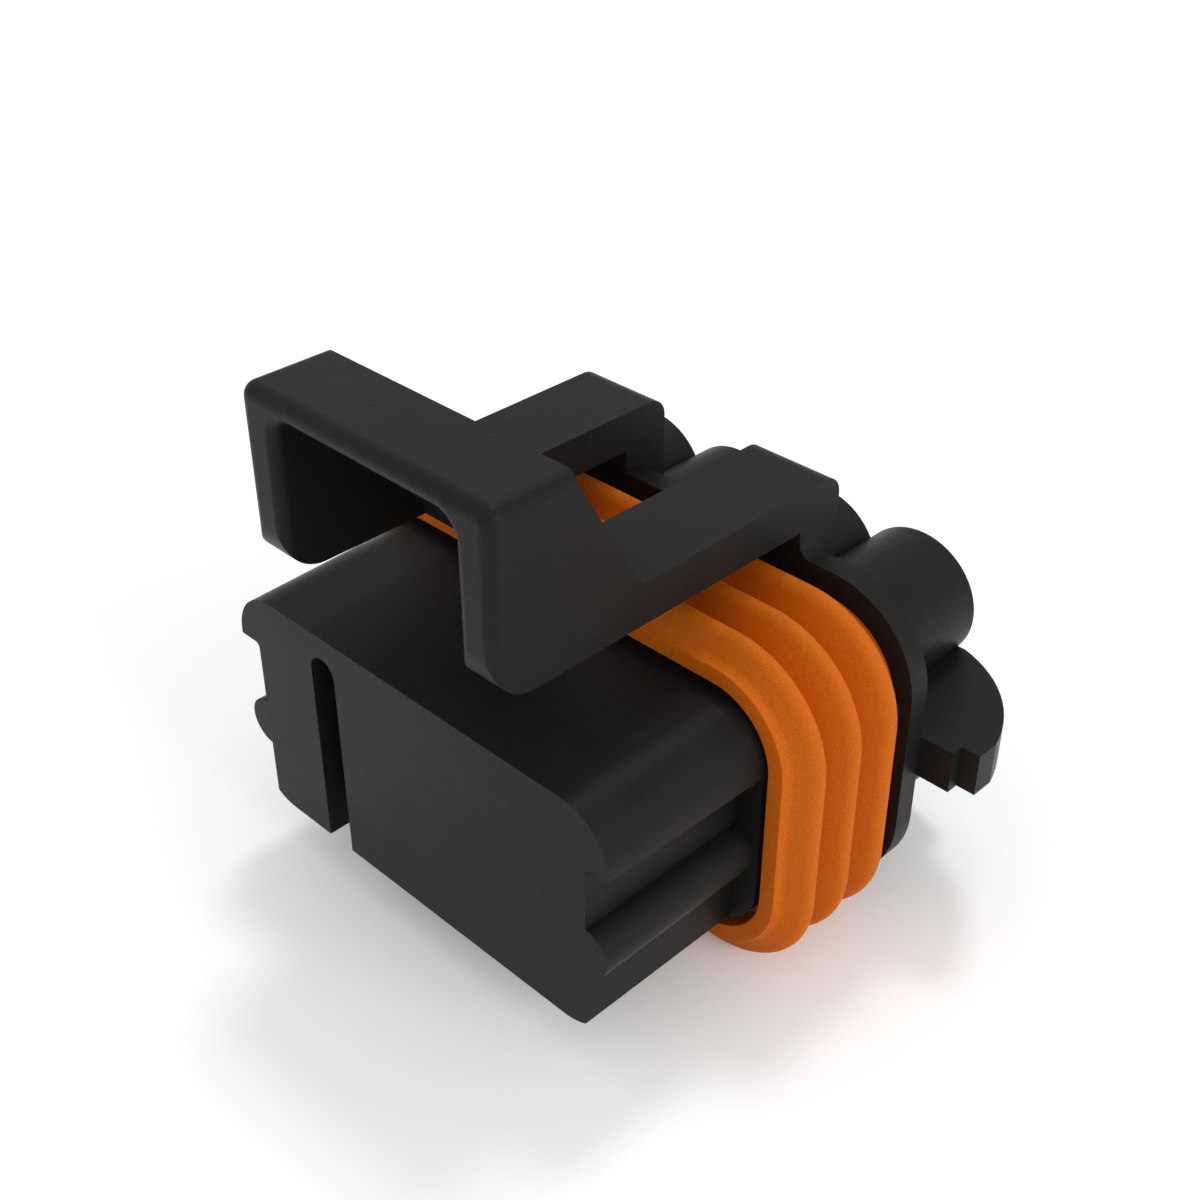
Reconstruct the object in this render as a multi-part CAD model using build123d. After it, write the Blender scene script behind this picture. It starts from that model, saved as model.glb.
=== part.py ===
from build123d import *
import math
import os

# Sealed multi-way connector housing with its perimeter seal.
# Frame: X across the width, Y back along the mating axis, Z up.
# The origin is the centre of the nose's front face, and the nose plugs in towards -Y.
# All sizes are in millimetres.

# Wire ways: four columns in two rows, one tower for each wire
way_pitch = 6.0
row_rise = 3.70
columns = 4
tower_radius = 3.50
tower_end = 25.95
tower_root_fillet = 0.8
seal_bore_radius = 2.55
seal_bore_depth = 9.5
bore_lead_in = 0.3
chamber_width = 2.9
chamber_height = 3.3
chamber_front = 1.4

# Nose: the section that enters the mating shroud, with draft on its top and sides
nose_half_width = 12.63
nose_half_height = 6.26
nose_corner = 2.67
nose_draft = 0.2
nose_length = 10.6
pocket_length = 9.5
side_wall = 11.28
ledge_height = 3.37
ledge_fillet = 0.3
side_rib_radius = 1.3
side_rib_height = -1.48

# Key slot, open at the bottom of the nose
slot_centre = -6.1
slot_width = 1.74
slot_top = 5.04

# Core that carries the seal, and the flange behind it
core_rise = 0.24
core_half_width = nose_half_width
core_half_height = nose_half_height + core_rise
core_corner = 2.9
flange_front = 17.4
flange_back = 18.6
flange_half_width = 14.9
flange_top = 9.1
flange_bottom = -8.15
flange_corner = 5.0

# Wings that stand out behind the flange at mid-height
wing_bottom = -0.6
wing_top = 1.7
wing_shoulder = 16.7
wing_half_width = 17.7
wing_step = 0.7
wing_straight = 1.3
wing_bow = 1.0
wing_root = 12.3

# Lock: a hood with a thumb pad on two flexible arms
hood_front = -1.45
hood_half_width = 7.88
hood_top = 19.32
hood_top_back = 3.15
hood_back_drop = 0.57
hood_back_slope = 1.70
hood_edge_round = 0.65
hood_foot_round = 2.1
hood_wall_gap = 1.64
opening_half_width = 5.72
opening_top = 18.17
opening_corner = 1.0
opening_edge = 0.55
arm_bottom = 10.37
arm_start = 6.6
arm_top = 12.5
arm_inner = 3.21
block_front = 17.42
block_back = 20.15
block_root = 6.6
block_round = 1.1
block_foot_round = 0.7

# Perimeter seal: heights over the core, places along Y
seal_front = 9.45
seal_lip_clearance = 0.45
seal_lip = 1.3
seal_crest = 2.62
seal_crest_half_land = 0.26
seal_valley = 1.0
seal_valley_half_land = 0.2
rib_count = 3
rib_first = 10.67
rib_pitch = 2.51
seal_land_front = 11.0

# How far cuts run past a face, and how far pieces that join reach into each other
overlap = 1.0

# Two roundings that meet differ by the first value, and an edge counts as on a line within the second
rounding_margin = 0.05
tolerance = 0.01


def prism_y(outline, front, back):
    """Extrude an XZ outline from the plane y = front to y = back."""
    return extrude(Plane.XZ.offset(-front) * outline, amount=front - back)


def prism_x(outline, left, right):
    """Extrude a YZ outline from the plane x = left to x = right."""
    return extrude(Plane.YZ.offset(left) * outline, amount=right - left)


def outline_from(points):
    return make_face(Polyline(*points, close=True))


def both_sides(solid):
    return solid + mirror(solid, about=Plane.YZ)


def way_places():
    """Centres (x, z) of the wire ways, the upper row first."""
    places = []
    for row in (1, -1):
        for column in range(columns):
            places.append(((column - (columns - 1) / 2) * way_pitch, row * row_rise))
    return places


def side_pocket():
    """The recess below the ledge on the right of the nose, with its rounded root."""
    reach = nose_half_width - side_wall + 2 * overlap
    drop = ledge_height + nose_half_height + overlap
    recess = Pos(side_wall, ledge_height) * Rectangle(reach, drop, align=(Align.MIN, Align.MAX))
    root = recess.vertices().sort_by(Axis.X)[:2].sort_by(Axis.Y)[-1]
    return fillet(root, ledge_fillet)


def key_slot():
    """The slot with a round top that runs out through the bottom."""
    middle = slot_top - slot_width / 2
    bottom = -nose_half_height - overlap
    stem = Pos(slot_centre, middle) * Rectangle(slot_width, middle - bottom, align=(Align.CENTER, Align.MAX))
    return stem + Pos(slot_centre, middle) * Circle(slot_width / 2)


def nose():
    """The nose widens and rises slightly towards the back, and its bottom is level."""
    front = RectangleRounded(2 * nose_half_width, 2 * nose_half_height, nose_corner)
    rear = Pos(0, nose_draft / 2) * RectangleRounded(
        2 * (nose_half_width + nose_draft), 2 * nose_half_height + nose_draft, nose_corner)
    solid = loft([Plane.XZ * front, Plane.XZ.offset(-nose_length) * rear])
    solid -= both_sides(prism_y(side_pocket(), -overlap, pocket_length))
    rib = prism_y(Pos(side_wall, side_rib_height) * Circle(side_rib_radius), 0, nose_length)
    return solid + both_sides(rib) - prism_y(key_slot(), -overlap, pocket_length)


def core():
    section = RectangleRounded(2 * core_half_width, 2 * core_half_height, core_corner)
    return prism_y(section, nose_length, flange_front)


def flange():
    height = flange_top - flange_bottom
    section = Pos(0, flange_bottom + height / 2) * RectangleRounded(2 * flange_half_width, height, flange_corner)
    return prism_y(section, flange_front, flange_back)


def turned_about_way(outline, x, z):
    """Turn a face drawn in (y, radius) about the axis of the way at x, z."""
    plane = Plane(origin=(x, 0, z), x_dir=(0, 1, 0), z_dir=(1, 0, 0))
    return revolve(plane * outline, axis=Axis((x, 0, z), (0, 1, 0)))


def tower(x, z):
    """One wire tower. The upper ones flare at the root, where they leave the flange."""
    if z < 0:
        return prism_y(Pos(x, z) * Circle(tower_radius), flange_front, tower_end)
    root_radius = tower_radius + tower_root_fillet
    start = (flange_front + flange_back) / 2
    outline = outline_from([
        (start, 0),
        (start, root_radius),
        (flange_back, root_radius),
        (flange_back, tower_radius),
        (tower_end, tower_radius),
        (tower_end, 0),
    ])
    inner_corner = outline.vertices().sort_by_distance((flange_back, tower_radius, 0))[0]
    return turned_about_way(fillet(inner_corner, tower_root_fillet - rounding_margin), x, z)


def way_cavity(x, z):
    """The bore for a wire seal, and the square terminal chamber in front of it."""
    bore_front = tower_end - seal_bore_depth
    mouth_radius = seal_bore_radius + bore_lead_in
    outline = outline_from([
        (bore_front, 0),
        (bore_front, seal_bore_radius),
        (tower_end - bore_lead_in, seal_bore_radius),
        (tower_end, mouth_radius),
        (tower_end + overlap, mouth_radius),
        (tower_end + overlap, 0),
    ])
    chamber = Pos(x, z) * Rectangle(chamber_width, chamber_height)
    return turned_about_way(outline, x, z) + prism_y(chamber, chamber_front, bore_front + overlap)


def wing_plate():
    """The plate between the tower rows, whose ends stand out as rounded wings."""
    step_back = flange_back + wing_step
    straight_back = step_back + wing_straight
    start = (wing_half_width, straight_back)
    end = (wing_root, tower_end)
    chord = math.dist(start, end)
    middle = ((start[0] + end[0]) / 2, (start[1] + end[1]) / 2)
    outward = ((end[1] - start[1]) / chord, (start[0] - end[0]) / chord)
    crown = (middle[0] + wing_bow * outward[0], middle[1] + wing_bow * outward[1])
    edge = Polyline(
        (0, tower_end),
        (0, flange_back - wing_step),
        (wing_shoulder - 2 * overlap, flange_back - wing_step),
        (wing_shoulder - 2 * overlap, flange_back),
        (wing_shoulder, flange_back),
        (wing_shoulder, step_back),
        (wing_half_width, step_back),
        start,
    )
    edge += ThreePointArc(start, crown, end)
    edge += Line(end, (0, tower_end))
    plate = extrude(Plane.XY.offset(wing_bottom) * make_face(edge), amount=wing_top - wing_bottom)
    return both_sides(plate)


def hood_bottom_back():
    """Place along Y of the foot of the hood's sloping back."""
    return hood_top_back + (hood_top - hood_back_drop - arm_bottom) / hood_back_slope


def hood_shell():
    """The outside of the hood: rounded at the front, with a back that slopes down to the arms."""
    side_view = outline_from([
        (hood_front, arm_bottom),
        (hood_front, hood_top),
        (hood_top_back, hood_top),
        (hood_top_back, hood_top - hood_back_drop),
        (hood_bottom_back(), arm_bottom),
    ])
    top_front = side_view.vertices().sort_by_distance((hood_front, hood_top, 0))[0]
    side_view = fillet(top_front, hood_edge_round + rounding_margin)
    shell = prism_x(side_view, -hood_half_width, hood_half_width)
    side_edges = []
    for edge in shell.edges():
        middle = edge @ 0.5
        at_side = abs(abs(middle.X) - hood_half_width) < tolerance
        at_top = middle.Z > hood_top - hood_edge_round and middle.Y < hood_top_back - tolerance
        at_front = middle.Y < hood_front + tolerance
        if at_side and (at_top or at_front):
            side_edges.append(edge)
    return fillet(side_edges, hood_edge_round)


def hood_cavity():
    """The space under the hood, open at the front and the bottom."""
    inner_back = hood_bottom_back() - hood_wall_gap
    floor = arm_bottom - overlap
    side_view = outline_from([
        (hood_front - overlap, floor),
        (hood_front - overlap, opening_top),
        (inner_back - (opening_top - arm_bottom) / hood_back_slope, opening_top),
        (inner_back + overlap / hood_back_slope, floor),
    ])
    height = opening_top - floor
    front_view = Pos(0, floor) * Rectangle(2 * opening_half_width, height, align=(Align.CENTER, Align.MIN))
    top_corners = front_view.vertices().group_by(Axis.Y)[-1]
    front_view = fillet(top_corners, opening_corner)
    cavity = prism_x(side_view, -opening_half_width, opening_half_width)
    return cavity & prism_y(front_view, hood_front - 2 * overlap, hood_bottom_back())


def hood_feet():
    """What the rounding at the bottom of the legs takes off, across the whole hood."""
    reach = hood_foot_round + overlap
    corner = Pos(hood_front - overlap, arm_bottom - overlap) * Rectangle(reach, reach, align=(Align.MIN, Align.MIN))
    corner -= Pos(hood_front + hood_foot_round, arm_bottom + hood_foot_round) * Circle(hood_foot_round)
    return prism_x(corner, -hood_half_width - overlap, hood_half_width + overlap)


def hood():
    """The hood with the edge of its opening rounded."""
    solid = hood_shell() - hood_cavity()
    front_face = solid.faces().sort_by(Axis.Y)[0]
    opening = []
    for edge in front_face.edges():
        middle = edge @ 0.5
        across = abs(middle.X) < opening_half_width + tolerance
        if across and arm_bottom + tolerance < middle.Z < opening_top + tolerance:
            opening.append(edge)
    return fillet(opening, opening_edge) - hood_feet()


def lock_arm():
    """The right arm, with the block that it stands on behind the seal."""
    side_view = outline_from([
        (arm_start, arm_bottom),
        (block_front, arm_bottom),
        (block_front, block_root),
        (block_back, block_root),
        (block_back, arm_top),
        (arm_start, arm_top),
    ])
    arm = prism_x(side_view, arm_inner, hood_half_width)
    rear = arm.faces().sort_by(Axis.Y)[-1]
    return fillet(rear.edges().filter_by(Axis.X).group_by(Axis.Z)[-1], block_round)


def is_block_foot(point):
    """True on the lines where the outer sides of the blocks meet the top of the flange."""
    at_side = abs(abs(point.X) - hood_half_width) < tolerance
    return at_side and abs(point.Z - flange_top) < tolerance


def housing():
    solid = nose() + core() + flange()
    for x, z in way_places():
        solid += tower(x, z)
    between_rows = Rectangle((columns - 1) * way_pitch, 2 * row_rise)
    solid += prism_y(between_rows, flange_front, tower_end)
    solid += wing_plate()
    solid += hood() + both_sides(lock_arm())
    feet = [edge for edge in solid.edges().filter_by(Axis.Y) if is_block_foot(edge.center())]
    solid = fillet(feet, block_foot_round)
    for x, z in way_places():
        solid -= way_cavity(x, z)
    return solid


def seal_profile():
    """Cross-section of the seal: x is the place along Y, y the height over the core."""
    points = [(seal_front, seal_lip_clearance), (seal_front, seal_lip)]
    for number in range(rib_count):
        crest = rib_first + number * rib_pitch
        valley = crest + rib_pitch / 2
        points.append((crest - seal_crest_half_land, seal_crest))
        points.append((crest + seal_crest_half_land, seal_crest))
        if number < rib_count - 1:
            points.append((valley - seal_valley_half_land, seal_valley))
            points.append((valley + seal_valley_half_land, seal_valley))
        else:
            points.append((valley, seal_lip))
    points += [(flange_front, seal_lip), (flange_front, 0), (seal_land_front, 0)]
    points.append((seal_land_front - seal_lip_clearance / 2, seal_lip_clearance))
    return outline_from(points)


def perimeter_seal():
    """The seal's cross-section carried round the core."""
    path = Plane.XZ * RectangleRounded(2 * core_half_width, 2 * core_half_height, core_corner).wire()
    start = path @ 0
    ahead = path % 0
    outward = Vector(start.X, 0, start.Z)
    across = Vector(0, 1, 0).cross(ahead)
    if across.dot(outward) < 0:
        across = across * -1
    plane = Plane(origin=start, x_dir=(0, 1, 0), z_dir=Vector(0, 1, 0).cross(across))
    return sweep(plane * seal_profile(), path=path)


if __name__ == "__main__":
    os.makedirs("parts", exist_ok=True)
    export_step(housing(), "parts/housing.step")
    export_step(perimeter_seal(), "parts/perimeter_seal.step")
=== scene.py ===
import math

import bmesh
import bpy
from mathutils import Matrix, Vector


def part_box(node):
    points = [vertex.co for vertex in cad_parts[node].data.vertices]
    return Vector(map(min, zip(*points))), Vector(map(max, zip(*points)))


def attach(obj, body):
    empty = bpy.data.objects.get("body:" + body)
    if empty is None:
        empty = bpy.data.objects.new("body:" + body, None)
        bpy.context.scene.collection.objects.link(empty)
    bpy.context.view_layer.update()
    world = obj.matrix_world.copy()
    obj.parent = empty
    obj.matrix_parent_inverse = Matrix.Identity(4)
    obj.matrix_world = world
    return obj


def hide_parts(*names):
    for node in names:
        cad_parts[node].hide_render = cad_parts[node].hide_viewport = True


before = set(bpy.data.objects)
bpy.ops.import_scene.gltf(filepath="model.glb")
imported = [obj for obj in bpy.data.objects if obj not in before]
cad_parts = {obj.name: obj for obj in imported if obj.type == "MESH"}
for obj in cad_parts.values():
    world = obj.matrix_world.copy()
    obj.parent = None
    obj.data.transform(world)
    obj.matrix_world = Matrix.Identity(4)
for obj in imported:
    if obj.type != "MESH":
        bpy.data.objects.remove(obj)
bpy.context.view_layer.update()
scene = bpy.context.scene

# Camera of the photograph: distances in metres, angles in degrees, lens and sensor in millimetres
CAMERA_PLACE = (0.047741, -0.035902, 0.050872)
CAMERA_AZIMUTH = 44.74
CAMERA_ELEVATION = 33.84
CAMERA_FOCAL = 50.47
CAMERA_SENSOR = 36.0
CAMERA_NEAR = 0.001
CAMERA_FAR = 20.0

# Studio: how bright each light is, where each sun stands, and how wide it looks
SKY = 0.66
KEY = 0.2
SIDE = 1.0
TOP = 0.65
KEY_STANDS = (-0.30, -0.75, 0.60)
SIDE_STANDS = (0.92, 0.10, 0.38)
TOP_STANDS = (-0.17, 0.33, 0.93)
WARM = (1.0, 0.97, 0.92)
COOL = (0.92, 0.96, 1.0)
WIDE = math.radians(30)
NARROW = math.radians(11)

# Floor: half its side in metres, its colour as it lights the part and as it is seen, and its glow when seen
FLOOR_HALF = 2.0
FLOOR_LIT = (0.94, 0.92, 0.89)
FLOOR_SEEN = (1.0, 1.0, 1.0)
FLOOR_GLOW = 0.14

# Finishes. A noise is given as features per metre, detail and roughness, and a bump as strength and metres.
# The middle of a noise's values, from the first to the second of its range, spreads over the whole finish.
CLOUD_RANGE = (0.3, 0.7)
SPECK_RANGE = (0.35, 0.7)

# Black moulded plastic, in linear colours
BLACK = (0.0130, 0.0128, 0.0122)
BLACK_WORN = (0.0148, 0.0146, 0.0139)
BLACK_ROUGHNESS = (0.34, 0.42)
BLACK_SPECULAR = 0.09
BLACK_GRAIN = (7500.0, 3.0, 0.55)
BLACK_CLOUD = (420.0, 4.0, 0.55)
BLACK_FLECK = (11000.0, 2.0, 0.7)
BLACK_CLOUD_BUMP = (0.03, 0.0001)
BLACK_GRAIN_BUMP = (0.4, 0.00002)
BLACK_FLECK_BUMP = (1.0, 0.00002)

# Orange silicone, in linear colours
ORANGE = (0.67, 0.155, 0.0048)
ORANGE_DEEP = (0.50, 0.092, 0.0027)
ORANGE_ROUGHNESS = (0.5, 0.64)
ORANGE_SPECULAR = 0.12
ORANGE_SPECK = (15000.0, 3.0, 0.6)
ORANGE_CLOUD = (700.0, 3.0, 0.55)
ORANGE_CLOUD_BUMP = (0.05, 0.0001)
ORANGE_SPECK_BUMP = (0.3, 0.00003)

# Perimeter seal in millimetres: its places along y, and its heights above the core
CORE_HALF_WIDTH = 12.63
CORE_HALF_HEIGHT = 6.5
CORE_CORNER = 2.9
SEAL_FRONT = 9.45
SEAL_BACK = 17.4
LIP_CLEARANCE = 0.45
LIP = 1.3
LIP_RUN = 0.35
CREST = 3.165
VALLEY = 0.8
FIRST_CREST = 10.67
CREST_PITCH = 2.51
RIBS = 3
LAND_FRONT = 11.0
CREST_ROUNDING = 1.1
VALLEY_ROUNDING = 0.49
LIP_ROUNDING = 0.3
EDGE_ROUNDING = 0.05
ROUNDING_STEPS = 8
CORNER_STEPS = 28
WELD = 0.0005
QUARTER_TURN = math.radians(90)
SHARP_ANGLE = math.radians(30)
MM = 0.001


def new_material(name):
    material = bpy.data.materials.new(name)
    material.use_nodes = True
    tree = material.node_tree
    return material, tree, tree.nodes["Principled BSDF"]


def noise(tree, scale, detail, roughness):
    """Noise in the piece's own space."""
    place = tree.nodes.new("ShaderNodeTexCoord")
    texture = tree.nodes.new("ShaderNodeTexNoise")
    texture.inputs["Scale"].default_value = scale
    texture.inputs["Detail"].default_value = detail
    texture.inputs["Roughness"].default_value = roughness
    tree.links.new(place.outputs["Object"], texture.inputs["Vector"])
    return texture.outputs["Fac"]


def spread(tree, value, low, high, to_low=0.0, to_high=1.0):
    """Map one range of values on to another."""
    node = tree.nodes.new("ShaderNodeMapRange")
    ends = (("From Min", low), ("From Max", high), ("To Min", to_low), ("To Max", to_high))
    for name, number in ends:
        node.inputs[name].default_value = number
    tree.links.new(value, node.inputs["Value"])
    return node.outputs["Result"]


def colour_mix(tree, factor, first, second):
    """The first colour where the factor is nought, and the second where it is one."""
    node = tree.nodes.new("ShaderNodeMix")
    node.data_type = "RGBA"
    colours = [socket for socket in node.inputs if socket.type == "RGBA"]
    colours[0].default_value = (*first, 1.0)
    colours[1].default_value = (*second, 1.0)
    tree.links.new(factor, node.inputs["Factor"])
    return [socket for socket in node.outputs if socket.type == "RGBA"][0]


def bumps(tree, shader, layers):
    """Stack bump layers of (height, strength, distance) on the shader's normal."""
    previous = None
    for height, strength, distance in layers:
        bump = tree.nodes.new("ShaderNodeBump")
        bump.inputs["Strength"].default_value = strength
        bump.inputs["Distance"].default_value = distance
        tree.links.new(height, bump.inputs["Height"])
        if previous is not None:
            tree.links.new(previous, bump.inputs["Normal"])
        previous = bump.outputs["Normal"]
    tree.links.new(previous, shader.inputs["Normal"])


def black_plastic():
    """Black plastic off a spark-eroded mould: a fine satin grain and a soft gloss."""
    material, tree, shader = new_material("black_plastic")
    shader.inputs["Specular IOR Level"].default_value = BLACK_SPECULAR
    grain = noise(tree, *BLACK_GRAIN)
    cloud = noise(tree, *BLACK_CLOUD)
    fleck = noise(tree, *BLACK_FLECK)
    tone = colour_mix(tree, spread(tree, cloud, *CLOUD_RANGE), BLACK, BLACK_WORN)
    tree.links.new(tone, shader.inputs["Base Color"])
    dullness = spread(tree, cloud, *CLOUD_RANGE, *BLACK_ROUGHNESS)
    tree.links.new(dullness, shader.inputs["Roughness"])
    bumps(tree, shader, [
        (cloud, *BLACK_CLOUD_BUMP),
        (grain, *BLACK_GRAIN_BUMP),
        (fleck, *BLACK_FLECK_BUMP),
    ])
    return material


def orange_silicone():
    """Matt silicone with a powdery bloom that shows as fine lighter and deeper specks."""
    material, tree, shader = new_material("orange_silicone")
    shader.inputs["Specular IOR Level"].default_value = ORANGE_SPECULAR
    speck = noise(tree, *ORANGE_SPECK)
    cloud = noise(tree, *ORANGE_CLOUD)
    tone = colour_mix(tree, spread(tree, speck, *SPECK_RANGE), ORANGE, ORANGE_DEEP)
    tree.links.new(tone, shader.inputs["Base Color"])
    dullness = spread(tree, cloud, *CLOUD_RANGE, *ORANGE_ROUGHNESS)
    tree.links.new(dullness, shader.inputs["Roughness"])
    bumps(tree, shader, [(cloud, *ORANGE_CLOUD_BUMP), (speck, *ORANGE_SPECK_BUMP)])
    return material


def linked_object(mesh, name):
    """Close a finished bmesh into an object of the scene."""
    data = bpy.data.meshes.new(name)
    mesh.to_mesh(data)
    mesh.free()
    made = bpy.data.objects.new(name, data)
    scene.collection.objects.link(made)
    return made


def of_kind(parts, kind):
    return [part for part in parts if isinstance(part, kind)]


def seal_section():
    """Corners of the section as (y, height, rounding): out over the ribs and back along the core."""
    corners = [
        (SEAL_FRONT, LIP_CLEARANCE, EDGE_ROUNDING),
        (SEAL_FRONT, LIP, EDGE_ROUNDING),
        (SEAL_FRONT + LIP_RUN, LIP, LIP_ROUNDING),
    ]
    for rib in range(RIBS):
        crest = FIRST_CREST + rib * CREST_PITCH
        foot = LIP if rib == RIBS - 1 else VALLEY
        corners.append((crest, CREST, CREST_ROUNDING))
        corners.append((crest + CREST_PITCH / 2, foot, VALLEY_ROUNDING))
    corners += [
        (SEAL_BACK, LIP, 0),
        (SEAL_BACK, 0, 0),
        (LAND_FRONT, 0, 0),
        (LAND_FRONT - LIP_CLEARANCE / 2, LIP_CLEARANCE, 0),
    ]
    return corners


def section_edges(mesh):
    """Draw the section on the right flank of the core, round its corners, and give back its edges."""
    start_z = CORE_CORNER - CORE_HALF_HEIGHT
    roundings = {}
    points = []
    for y, height, rounding in seal_section():
        point = mesh.verts.new(((CORE_HALF_WIDTH + height) * MM, y * MM, start_z * MM))
        roundings.setdefault(rounding, []).append(point)
        points.append(point)
    mesh.faces.new(points)
    for rounding, corners in roundings.items():
        if rounding:
            bmesh.ops.bevel(
                mesh, geom=corners, offset=rounding * MM, offset_type="OFFSET", affect="VERTICES",
                segments=ROUNDING_STEPS, profile=0.5, material=-1,
            )
    bmesh.ops.delete(mesh, geom=list(mesh.faces), context="FACES_ONLY")
    return list(mesh.edges)


def carry_round_core(mesh, edges):
    """Draw the section out along each side of the core and spin it round each corner."""
    rise = 2 * (CORE_HALF_HEIGHT - CORE_CORNER) * MM
    run = 2 * (CORE_HALF_WIDTH - CORE_CORNER) * MM
    sides = (
        (1, 1, (0, 0, rise)),
        (-1, 1, (-run, 0, 0)),
        (-1, -1, (0, 0, -rise)),
        (1, -1, (run, 0, 0)),
    )
    for corner_x, corner_z, along in sides:
        drawn = bmesh.ops.extrude_edge_only(mesh, edges=edges)["geom"]
        bmesh.ops.translate(mesh, verts=of_kind(drawn, bmesh.types.BMVert), vec=along)
        turned = bmesh.ops.spin(
            mesh, geom=of_kind(drawn, bmesh.types.BMEdge),
            cent=(corner_x * run / 2, 0, corner_z * rise / 2), axis=(0, -1, 0), dvec=(0, 0, 0),
            angle=QUARTER_TURN, steps=CORNER_STEPS, use_merge=False, use_duplicate=False,
        )["geom_last"]
        edges = of_kind(turned, bmesh.types.BMEdge)


def perimeter_seal():
    """The three-ribbed ring with rounded crests and valleys, in the place of the plainer solid."""
    mesh = bmesh.new()
    carry_round_core(mesh, section_edges(mesh))
    bmesh.ops.remove_doubles(mesh, verts=list(mesh.verts), dist=WELD * MM)
    bmesh.ops.recalc_face_normals(mesh, faces=list(mesh.faces))
    for face in mesh.faces:
        face.smooth = True
    for edge in mesh.edges:
        edge.smooth = edge.calc_face_angle() < SHARP_ANGLE
    seal = linked_object(mesh, "seal_ring")
    seal.data.materials.append(orange_silicone())
    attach(seal, "root")
    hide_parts("perimeter_seal")


def dress_housing():
    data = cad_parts["housing"].data
    data.materials.clear()
    data.materials.append(black_plastic())


def seen_or_mirrored(tree):
    """One where the floor is seen, directly, mirrored or through a piece, and nought for its light."""
    path = tree.nodes.new("ShaderNodeLightPath")
    either = path.outputs["Is Camera Ray"]
    for name in ("Is Glossy Ray", "Is Transmission Ray"):
        larger = tree.nodes.new("ShaderNodeMath")
        larger.operation = "MAXIMUM"
        tree.links.new(either, larger.inputs[0])
        tree.links.new(path.outputs[name], larger.inputs[1])
        either = larger.outputs["Value"]
    return either


def floor_white():
    material, tree, shader = new_material("floor_white")
    shader.inputs["Roughness"].default_value = 1.0
    shader.inputs["Specular IOR Level"].default_value = 0.0
    shader.inputs["Emission Color"].default_value = (1.0, 1.0, 1.0, 1.0)
    seen = seen_or_mirrored(tree)
    tone = colour_mix(tree, seen, FLOOR_LIT, FLOOR_SEEN)
    tree.links.new(tone, shader.inputs["Base Color"])
    glow = spread(tree, seen, 0.0, 1.0, 0.0, FLOOR_GLOW)
    tree.links.new(glow, shader.inputs["Emission Strength"])
    return material


def white_floor():
    """A white floor that keeps the shade below the part."""
    mesh = bmesh.new()
    bmesh.ops.create_grid(mesh, x_segments=1, y_segments=1, size=FLOOR_HALF)
    low = min(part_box(node)[0].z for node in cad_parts)
    bmesh.ops.translate(mesh, verts=list(mesh.verts), vec=(0, 0, low))
    floor = linked_object(mesh, "floor")
    floor.data.materials.append(floor_white())


def soft_sun(name, stands, strength, angle, colour):
    """A sun that shines on the part from the side where it stands."""
    data = bpy.data.lights.new(name, "SUN")
    data.angle = angle
    data.energy = strength
    data.color = colour
    light = bpy.data.objects.new(name, data)
    light.rotation_euler = Vector(stands).to_track_quat("Z", "Y").to_euler()
    scene.collection.objects.link(light)


def sky(strength):
    world = bpy.data.worlds.new("studio")
    world.use_nodes = True
    back = world.node_tree.nodes["Background"]
    back.inputs["Color"].default_value = (1.0, 1.0, 1.0, 1.0)
    back.inputs["Strength"].default_value = strength
    scene.world = world


def photo_camera():
    data = bpy.data.cameras.new("photo_camera")
    data.lens = CAMERA_FOCAL
    data.sensor_width = CAMERA_SENSOR
    data.clip_start = CAMERA_NEAR
    data.clip_end = CAMERA_FAR
    camera = bpy.data.objects.new("photo_camera", data)
    camera.location = CAMERA_PLACE
    tilt = math.radians(90.0 - CAMERA_ELEVATION)
    camera.rotation_euler = (tilt, 0.0, math.radians(CAMERA_AZIMUTH))
    scene.collection.objects.link(camera)
    scene.camera = camera


photo_camera()
dress_housing()
perimeter_seal()
white_floor()
sky(SKY)
soft_sun("key", KEY_STANDS, KEY, WIDE, WARM)
soft_sun("side", SIDE_STANDS, SIDE, WIDE, WARM)
soft_sun("top", TOP_STANDS, TOP, NARROW, COOL)
scene.view_settings.view_transform = "Standard"
